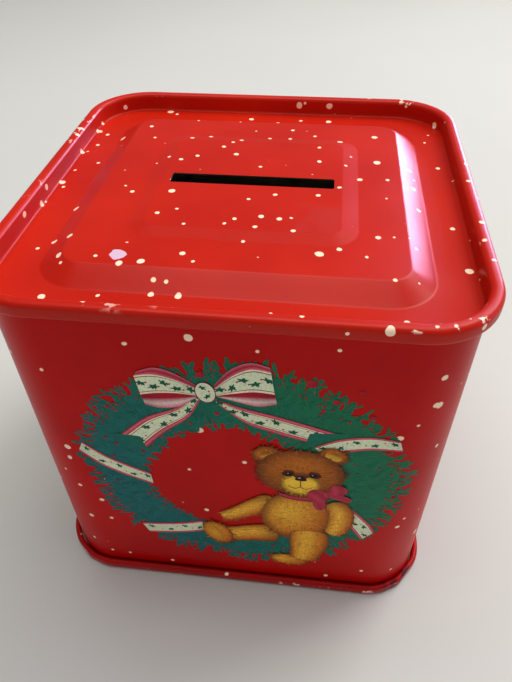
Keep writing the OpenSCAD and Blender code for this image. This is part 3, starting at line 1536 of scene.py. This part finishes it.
@dataclass
class Ribbon:
    """The holly-printed ribbon: its bow, its two tails and the turns round the wreath."""

    seed: int = 5

    def leaves(
        self, sheet: PrintSheet, top: Sequence[Point], bottom: Sequence[Point], count: int, size: float,
        low: float = 0.36, high: float = 0.64,
    ) -> None:
        """Prints holly leaves and tiny berries along a stretch of ribbon.

        Args:
            sheet: The printing.
            top: The ribbon's upper edge.
            bottom: Its lower edge.
            count: How many leaves.
            size: Half a leaf's length.
            low: Share across for every second leaf.
            high: Share across for the others.
        """
        draw = random.Random(self.seed + count)
        steps = count * 4
        upper, lower = spline(top, steps), spline(bottom, steps)
        for leaf in range(count):
            for offset, share, dot in ((2, (low, high)[leaf % 2], False), (4, (high, low)[leaf % 2], True)):
                step = leaf * 4 + offset
                if step >= steps:
                    continue
                a, b = upper[step], lower[step]
                centre = between(a, b, share)
                if dot:
                    sheet.disc(centre, (size * 0.2, size * 0.2), 0, lambda x, y: Ink.BERRY.light, 1, 8)
                    continue
                back, on = upper[step - 1], upper[step + 1]
                along = math.degrees(math.atan2(on[1] - back[1], on[0] - back[0]))
                tilt = along + (25 if leaf % 2 else -30) + draw.uniform(-8, 8)
                sheet.holly(centre, size, tilt, Ink.LEAF.light)
                beside = (centre[0] + size * 0.4, centre[1] - size * 0.15)
                sheet.holly(beside, size * 0.55, tilt + 65, Ink.LEAF.light)

    def turns(self, sheet: PrintSheet) -> None:
        """Prints the four turns round the wreath."""
        turns = (
            (
                ((15.2, 50.6), (19.4, 53.3), (24.6, 54.6), (29.4, 54.1)),
                ((16.6, 49.0), (20.6, 50.0), (25.0, 51.2), (30.2, 51.4)),
                4,
            ),
            (
                ((-27.2, 46.4), (-23.2, 42.6), (-18.6, 39.9), (-15.4, 38.4)),
                ((-28.4, 43.6), (-24.4, 39.4), (-19.6, 36.6), (-15.2, 34.6)),
                4,
            ),
            (
                ((-19.8, 19.7), (-14.6, 20.4), (-10.2, 21.4), (-6.6, 22.8)),
                ((-18.4, 15.9), (-14.0, 16.6), (-9.6, 17.6), (-6.0, 18.9)),
                3,
            ),
            (
                ((23.4, 32.4), (25.4, 30.0), (27.4, 27.4), (28.6, 24.8)),
                ((22.2, 28.0), (23.6, 26.0), (24.8, 23.8), (26.2, 21.4)),
                3,
            ),
        )
        for top, bottom, leaves in turns:
            stripes = ribbon_stripes(0.15, 0.05, 0.0)
            sheet.band(top, bottom, stripes, lambda t: 0.86 + 0.14 * math.sin(math.pi * t), 14)
            sheet.level()
            self.leaves(sheet, top, bottom, leaves + 1, 0.82)

    def tails(self, sheet: PrintSheet) -> None:
        """Prints the two tails that hang from the knot."""
        for top, bottom, notch, leaves in (
            (
                ((-5.4, 61.2), (-8.6, 58.0), (-14.0, 55.0), (-19.2, 49.8)),
                ((-3.9, 60.8), (-6.4, 55.9), (-11.2, 51.2), (-14.9, 46.6)),
                (-15.9, 49.6),
                5,
            ),
            (
                ((-1.6, 61.3), (2.6, 59.6), (9.2, 57.9), (18.6, 54.9)),
                ((-1.2, 60.2), (3.4, 55.7), (8.6, 53.6), (13.8, 52.0)),
                (14.3, 54.3),
                6,
            ),
        ):
            sheet.band(top, bottom, ribbon_stripes(), lambda t: 0.8 + 0.2 * min(1.0, 3.2 * t), 26)
            sheet.level()
            self.leaves(sheet, top, bottom, leaves + 1, 0.98)
            sheet.level()
            green = blend(Ink.GREEN.light, Ink.TEAL.light, 0.45)
            ends = [top[-1], bottom[-1]]
            reach = [tuple(e + (e - n) * 0.35 for e, n in zip(end, notch)) for end in ends]
            sheet.put([notch, reach[0], reach[1]], [(0, 1, 2)], [green] * 3)

    def loop(self, sheet: PrintSheet, way: int) -> None:
        """Prints one loop of the bow: -1 for the left one, 1 for the right one."""
        if way < 0:
            top = ((-4.6, 63.5), (-8.2, 65.2), (-11.4, 65.9), (-14.5, 65.3))
            low = ((-4.6, 61.7), (-8.0, 61.9), (-11.2, 61.6), (-14.0, 60.9))
            crown = ((-4.6, 64.3), (-8.0, 66.7), (-11.0, 67.5), (-13.9, 66.3))
            inner = ((-4.6, 61.2), (-7.4, 58.8), (-10.8, 57.9), (-13.5, 58.5))
        else:
            top = ((-1.4, 63.7), (1.6, 66.9), (4.6, 68.7), (7.7, 68.3))
            low = ((-1.2, 62.0), (1.8, 62.9), (5.0, 63.6), (8.3, 63.4))
            crown = ((-1.4, 64.6), (1.2, 68.2), (4.4, 70.1), (7.5, 69.4))
            inner = ((-1.0, 61.8), (2.2, 60.9), (5.6, 60.2), (8.7, 61.1))
        crimson, pink, shell = Ink.CRIMSON.light, Ink.PINK.light, Ink.SHELL.light
        satin = [(0, 0.34, crimson, crimson), (0.34, 0.7, crimson, shell), (0.7, 1, shell, pink)]
        sheet.band(low, inner, satin, lambda t: 0.72 + 0.28 * math.sin(math.pi * min(1, t * 1.15)), 22)
        border = [(0, 0.5, pink, crimson), (0.5, 1, crimson, pink)]
        sheet.band(crown, top, border, lambda t: 0.75 + 0.35 * t, 22)
        sheet.level()
        stripes = [
            (0.0, 0.075, Ink.CREAM.light, Ink.CREAM.light),
            (0.075, 0.11, Ink.LINE.light, Ink.LINE.light),
            (0.11, 0.87, Ink.MINT.light, Ink.MINT.light),
            (0.87, 0.9, Ink.LINE.light, Ink.LINE.light),
            (0.9, 1.0, Ink.CREAM.light, Ink.CREAM.light),
        ]
        sheet.band(top, low, stripes, lambda t: 0.8 + 0.2 * min(1, t * 3), 22)
        sheet.level()
        self.leaves(sheet, top, low, 5, 1.02, 0.4, 0.64)

    def knot(self, sheet: PrintSheet) -> None:
        """Prints the knot."""
        sheet.disc((-3.0, 62.6), (1.75, 2.45), 8, lambda x, y: Ink.LINE.light, 3, 26)
        sheet.level()
        sheet.disc(
            (-3.0, 62.6), (1.6, 2.3), 8,
            lambda x, y: blend(Ink.MINT.light, Ink.SHELL.light, 0.4 * (x * x + y * y)), 4, 26,
        )
        sheet.level()
        sheet.holly((-3.4, 63.7), 0.8, -35, Ink.LEAF.light)
        sheet.holly((-2.7, 61.7), 0.85, 50, Ink.LEAF.light)
        sheet.disc((-2.4, 63.0), (0.18, 0.18), 0, lambda x, y: Ink.BERRY.light, 1, 8)

    def build(self) -> PrintSheet:
        """Prints the whole ribbon.

        Returns:
            The printing.
        """
        sheet = PrintSheet("ribbon_print", lift=0.135)
        self.turns(sheet)
        sheet.level()
        self.tails(sheet)
        sheet.level()
        self.loop(sheet, -1)
        self.loop(sheet, 1)
        sheet.level()
        self.knot(sheet)
        return sheet


@dataclass
class Bear:
    """A plain seated teddy bear with a neck bow, airbrushed in golden browns."""

    seed: int = 23
    limb_hairs: int = 150
    middle: float = 13.3
    smile_line: float = 0.16
    draw: random.Random = field(init=False)

    def __post_init__(self) -> None:
        """Seeds the brush."""
        self.draw = random.Random(self.seed)

    def fur(self, base: Colour, light: Colour, glow: Point = (-0.2, 0.25)) -> Shade:
        """Returns airbrushed fur: light about a point, dark round the rim.

        Args:
            base: The fur's middle colour.
            light: Its lit colour.
            glow: Where the light falls, -1..1 each way.

        Returns:
            The shading.
        """

        def shade(x: float, y: float) -> Colour:
            """Returns the fur's colour at a place in the shape."""
            away = math.hypot(x - glow[0], y - glow[1])
            rim = math.hypot(x, y)
            colour = blend(light, base, away * 1.05)
            return blend(colour, Ink.FUR_DARK.light, (rim - 0.68) * 2.5)

        return shade

    def tufts(
        self, sheet: PrintSheet, centre: Point, radii: Point, tilt: float, shade: Shade, count: int
    ) -> None:
        """Brushes short hairs over an oval, combed outwards.

        Args:
            sheet: The printing.
            centre: The oval's middle.
            radii: Its half width and half height.
            tilt: Its turn, in degrees.
            shade: The colour underneath.
            count: How many hairs.
        """
        turn = math.radians(tilt)
        for _ in range(count):
            angle, reach = self.draw.uniform(0, math.tau), math.sqrt(self.draw.random()) * 1.02
            x, y = reach * math.cos(angle), reach * math.sin(angle)
            u, v = x * radii[0], y * radii[1]
            place = turned(centre, u, v, turn)
            way = math.atan2(v, u) + turn + self.draw.uniform(-0.5, 0.5)
            self.hair(sheet, place, way, shade(x, y))

    def hair(self, sheet: PrintSheet, place: Point, way: float, colour: Colour) -> None:
        """Brushes one short hair, darker or lighter than the colour underneath."""
        tone = scaled(colour, self.draw.choice((0.58, 0.78, 1.15, 1.34)))
        sheet.stroke(place, way, self.draw.uniform(0.6, 1.3), self.draw.uniform(0.12, 0.2), tone)

    def oval(
        self, sheet: PrintSheet, centre: Point, radii: Point, tilt: float, shade: Shade, hairs: int
    ) -> None:
        """Prints one furry oval and its hairs."""
        sheet.disc(centre, radii, tilt, shade, 7, 36)
        sheet.level()
        self.tufts(sheet, centre, radii, tilt, shade, hairs)
        sheet.level()

    def arm(
        self, sheet: PrintSheet, path: Sequence[Point], widths: Sequence[float], dark_end: float = 0.0
    ) -> None:
        """Prints one limb and its hairs.

        Args:
            sheet: The printing.
            path: Its middle line.
            widths: Its half widths.
            dark_end: How much of its start lies in shade.
        """
        fur, light, dark = Ink.FUR.light, Ink.FUR_LIGHT.light, Ink.FUR_DARK.light

        def shade(along: float, across: float) -> Colour:
            """Returns the limb's colour."""
            colour = blend(light, fur, abs(across + 0.15) * 1.25)
            colour = blend(colour, dark, (abs(across) - 0.66) * 2.4)
            in_shade = bool(dark_end) and along < dark_end
            colour = blend(colour, dark, 0.7 * (1 - along / dark_end) if in_shade else 0)
            return blend(colour, dark, (along - 0.93) * 6)

        sheet.limb(path, widths, shade)
        sheet.level()
        steps = 40
        middle = spline(path, steps)
        sizes = spline([(width, 0.0) for width in widths], steps)
        for _ in range(self.limb_hairs):
            step = self.draw.randrange(2, steps - 2)
            across = self.draw.uniform(-0.95, 0.95)
            u, z = middle[step]
            along = Vector((middle[step + 1][0] - u, middle[step + 1][1] - z)).normalized()
            place = (u - along.y * across * sizes[step][0], z + along.x * across * sizes[step][0])
            way = math.atan2(along.y, along.x) + across * 0.5 + self.draw.uniform(-0.35, 0.35)
            self.hair(sheet, place, way, shade(step / steps, across))
        sheet.level()

    def trunk(self, sheet: PrintSheet) -> None:
        """Prints the body and its limbs, back to front."""
        fur, light = Ink.FUR.light, Ink.FUR_LIGHT.light
        self.arm(sheet, ((8.8, 33.6), (4.4, 29.8), (0.8, 26.9), (-2.2, 25.3)), (2.6, 2.5, 2.1, 1.7), 0.3)
        self.arm(sheet, ((9.6, 20.8), (5.0, 20.2), (1.0, 19.2), (-3.0, 18.4)), (3.4, 3.2, 2.8, 2.6), 0.35)
        self.oval(sheet, (12.9, 27.9), (7.0, 8.6), -4, self.fur(fur, light, (-0.25, 0.15)), 420)
        self.oval(sheet, (11.9, 10.3), (4.0, 2.2), -3, self.fur(fur, light, (-0.4, 0.1)), 110)
        self.arm(sheet, ((15.6, 23.2), (15.8, 18.6), (15.4, 14.4), (14.6, 10.6)), (3.9, 4.1, 3.4, 2.7))
        right_arm = ((19.6, 34.4), (21.4, 30.6), (21.4, 26.4), (20.2, 22.2))
        self.arm(sheet, right_arm, (2.0, 2.5, 2.5, 1.9), 0.25)
        self.foot(sheet)

    def foot(self, sheet: PrintSheet) -> None:
        """Prints the upturned foot with its stitched sole."""
        self.oval(sheet, (-3.3, 18.9), (2.9, 4.3), 24, self.fur(Ink.FUR.light, Ink.FUR_LIGHT.light), 120)
        sheet.disc(
            (-3.9, 18.7), (1.75, 3.1), 24,
            lambda x, y: blend(Ink.MUZZLE.light, Ink.FUR.light, 0.35 + 0.6 * math.hypot(x, y)), 4, 26,
        )
        sheet.level()
        for index in range(7):
            share = index / 6 - 0.5
            place = (-3.2 - share * 1.7 + 0.25 * math.cos(3 * share), 18.9 + share * 4.4)
            sheet.stroke(place, math.radians(112), 0.55, 0.14, Ink.FUR_DARK.light, 0.8)

    def head(self, sheet: PrintSheet) -> None:
        """Prints the head, ears and muzzle."""
        fur, light = Ink.FUR.light, Ink.FUR_LIGHT.light
        deep = blend(fur, Ink.FUR_DARK.light, 0.5)
        brown = blend(fur, Ink.FUR_DARK.light, 0.14)
        for centre, radii, tilt in (((7.1, 47.3), (2.7, 2.6), 30), ((18.7, 48.6), (2.7, 2.2), -25)):
            self.oval(sheet, centre, radii, tilt, self.fur(deep, fur), 60)
            sheet.disc(
                (centre[0] + 0.1, centre[1] - 0.1), (radii[0] * 0.58, radii[1] * 0.55), tilt,
                lambda x, y: blend(Ink.MUZZLE.light, deep, 0.35 + 0.6 * (y + 0.4) ** 2), 3, 20,
            )
            sheet.level()
        self.oval(sheet, (13.1, 42.6), (8.1, 6.9), -3, self.fur(deep, brown, (0.0, 0.3)), 520)
        gold = self.fur(Ink.MUZZLE.light, scaled(Ink.MUZZLE.light, 1.1), (0, 0))
        self.oval(sheet, (self.middle, 39.3), (3.7, 3.3), 0, gold, 60)
        for u in (12.0, 14.6):
            sheet.disc(
                (u, 39.8), (1.7, 1.45), 0,
                lambda x, y: blend(scaled(Ink.MUZZLE.light, 1.15), Ink.MUZZLE.light, x * x + y * y), 3, 20,
            )

    def face(self, sheet: PrintSheet) -> None:
        """Prints a plain toy face: two dark eyes, a nose and a stitched smile."""
        black = Ink.BLACK.light
        soft = blend(Ink.FUR_DARK.light, black, 0.4)
        for u, tilt in ((11.0, 8), (15.7, -8)):
            sheet.disc((u, 42.5), (1.3, 0.85), tilt, lambda x, y: soft, 2, 16)
            sheet.disc((u, 43.3), (1.0, 0.3), tilt, lambda x, y: Ink.FUR_DARK.light, 1, 12)
        sheet.disc(
            (self.middle, 42.2), (1.5, 1.0), 0,
            lambda x, y: blend(Ink.FUR_DARK.light, Ink.FUR.light, y * 0.5), 2, 16,
        )
        sheet.level()
        for u in (11.1, 15.6):
            sheet.disc((u, 42.4), (0.78, 0.58), 0, lambda x, y: black, 2, 16)
        sheet.disc(
            (self.middle, 41.2), (1.05, 0.75), 0, lambda x, y: black, 2, 18,
            outline=lambda angle: 1 + 0.14 * math.cos(3 * angle + math.pi / 2),
        )
        line, middle = self.smile_line, self.middle
        sheet.band(
            ((middle - line / 2, 41), (middle - line / 2, 38.6)),
            ((middle + line / 2, 41), (middle + line / 2, 38.6)),
            [(0, 1, black, black)], count=3,
        )
        for way in (-1, 1):
            corner = ((0.0, 38.7), (0.9, 38.1), (1.9, 38.5), (2.3, 39.1))
            smile = [(middle + way * out, z) for out, z in corner]
            under = [(u, z - line) for u, z in smile]
            sheet.band(smile, under, [(0, 1, black, black)], count=12)
        sheet.level()
        for u in (10.9, 15.4):
            sheet.disc((u, 42.6), (0.11, 0.1), 0, lambda x, y: Ink.CREAM.light, 1, 8)
        sheet.disc((13.0, 41.45), (0.28, 0.12), 15, lambda x, y: Ink.SHELL.light, 1, 8)

    def neck_bow(self, sheet: PrintSheet) -> None:
        """Prints the rose-coloured bow at the neck."""
        rose, dark = Ink.ROSE.light, Ink.ROSE_DARK.light

        def silk(x: float, y: float) -> Colour:
            """Returns the bow's colour, darker in its folds."""
            return blend(rose, dark, 0.35 + 0.45 * math.sin(4 * x + 2 * y) * 0.6 + 0.2 * math.hypot(x, y))

        sheet.band(
            ((9.2, 36.2), (12.0, 35.2), (16.0, 35.3)), ((9.6, 34.9), (12.2, 34.0), (16.0, 33.9)),
            [(0, 1, rose, dark)], count=10,
        )
        for path, widths in (
            (((17.4, 35.4), (17.0, 33.2), (17.8, 31.4)), (0.9, 1.1, 0.8)),
            (((18.6, 36.6), (21.0, 36.1), (23.0, 35.2)), (0.7, 0.9, 0.7)),
        ):
            sheet.limb(path, widths, lambda t, x: silk(x, t), 8, 4)
        sheet.level()
        sheet.disc((16.6, 36.0), (1.9, 2.3), 25, silk, 4, 22)
        sheet.disc((20.3, 38.4), (1.7, 1.7), -20, silk, 4, 22)
        sheet.level()
        sheet.disc((18.3, 36.9), (0.85, 0.95), 0, silk, 3, 16)

    def build(self) -> PrintSheet:
        """Prints the whole bear.

        Returns:
            The printing.
        """
        sheet = PrintSheet("bear_print", lift=0.185)
        self.trunk(sheet)
        sheet.level()
        self.head(sheet)
        sheet.level()
        self.face(sheet)
        sheet.level()
        self.neck_bow(sheet)
        return sheet


# ---------------------------------------------------------------- the set


@dataclass
class Studio:
    """The table, the soft lights and the camera."""

    table: float = 1.6
    place: Vector = field(default_factory=lambda: Vector((13.68, -103.58, 134.03)))
    yaw: float = -7.40
    pitch: float = 42.82
    roll: float = -1.05
    lens: float = 31.43
    sky_colour: Colour = (0.80, 0.82, 0.86)
    sky_strength: float = 0.26

    def floor(self, finish: bpy.types.Material) -> None:
        """Lays the table."""
        bpy.ops.object.select_all(action="DESELECT")
        bpy.ops.mesh.primitive_plane_add(size=self.table)
        table = bpy.context.object
        table.name = "table_top"
        table.data.materials.append(finish)

    def lamp(
        self, name: str, place: Vector, size: Point, power: float, colour: Colour, reach: Reach = Reach.ALL
    ) -> None:
        """Hangs one soft rectangular light that looks at the tin.

        Args:
            name: Its name.
            place: Its place, in metres.
            size: Its width and height, in metres.
            power: Its power, in watts.
            colour: Its colour.
            reach: Which kind of surface answer it gives.
        """
        bpy.ops.object.light_add(type="AREA", location=place)
        lamp = bpy.context.object
        lamp.name = name
        lamp.data.shape = "RECTANGLE"
        lamp.data.size, lamp.data.size_y = size
        lamp.data.energy = power
        lamp.data.color = colour
        lamp.visible_glossy = reach is not Reach.MATT_ONLY
        lamp.visible_diffuse = reach is not Reach.GLOSS_ONLY
        aim = Vector((0, 0, SIZES.height / 2 * MM)) - place
        lamp.rotation_euler = aim.to_track_quat("-Z", "Y").to_euler()

    def light(self) -> None:
        """Lights the set."""
        day, lamp_white = (1.0, 0.97, 0.94), (1.0, 0.95, 0.9)
        self.lamp("window_side", Vector((0.44, 0.42, 0.68)), (0.45, 0.4), 5.0, day)
        self.lamp("ceiling", Vector((0.0, 0.12, 0.95)), (0.7, 0.6), 5.6, (1.0, 0.97, 0.93))
        self.lamp("window_right", Vector((0.75, 0.05, 0.30)), (0.3, 0.4), 0.8, (0.95, 0.66, 1.0))
        self.lamp(
            "lilac_panel", Vector((0.46, 0.80, 0.23)), (0.34, 0.22), 9.0, (0.92, 0.60, 1.0), Reach.GLOSS_ONLY
        )
        self.lamp("room_front", Vector((-0.2, -0.9, 0.5)), (0.8, 0.6), 1.5, lamp_white, Reach.MATT_ONLY)
        world = bpy.data.worlds.new("room_light")
        bpy.context.scene.world = world
        world.use_nodes = True
        sky = world.node_tree.nodes["Background"]
        sky.inputs["Color"].default_value = (*self.sky_colour, 1)
        sky.inputs["Strength"].default_value = self.sky_strength
        bpy.context.scene.view_settings.view_transform = "Standard"

    def camera(self) -> None:
        """Sets the camera up."""
        data = bpy.data.cameras.new("camera")
        data.lens = self.lens
        data.clip_start = 0.01
        camera = bpy.data.objects.new("camera", data)
        bpy.context.scene.collection.objects.link(camera)
        camera.location = self.place * MM
        turn = Euler((math.radians(90 - self.pitch), 0, math.radians(-self.yaw)), "XYZ").to_matrix()
        roll = Matrix.Rotation(math.radians(self.roll), 3, "Z")
        camera.rotation_euler = (turn @ roll).to_euler()
        bpy.context.scene.camera = camera


def main() -> None:
    """Builds the money box and its set, in order."""
    logging.basicConfig(level=logging.INFO, format="%(name)s: %(message)s")
    red, deep = linear(192, 30, 8), linear(180, 24, 6)
    bare = BareTin().build()
    few = SnowDots(4.3, 0.08, 0.1)
    lid = Enamel(
        "red_enamel_top", red, deep, SnowDots(),
        crest=SIZES.height, chip=(-19.2, -25.8), ghost=(9.5, 17.0, -17.0, -7.5),
    )
    wall = Enamel("red_enamel_wall", linear(192, 10, 8), linear(178, 8, 6), few, gloss=0.08)
    # the base's red is a darker copy of the lid's red: painted shade for the base seam
    base = Enamel(
        "red_base_painted_shade", linear(172, 12, 10), linear(156, 8, 8), few,
        # painted shade in the crumple at the base seam's front right corner
        crest=1.6, gloss=0.14, scuff_and_shade=(36.8, -38.2),
    )
    TopEnd().build(lid.build(), bare)
    Wall().build(wall.build(), bare)
    BaseEnd().build(base.build(), bare)
    Stopper().build(SoftPlastic().build())
    ink = PrintedInk("printed_ink").build()
    for sheet in (Wreath().build(), Ribbon().build(), Bear().build()):
        for side in range(4):
            sheet.piece(side, ink)
    studio = Studio()
    studio.floor(TableTop().build())
    studio.light()
    studio.camera()


if __name__ == "__main__":
    main()
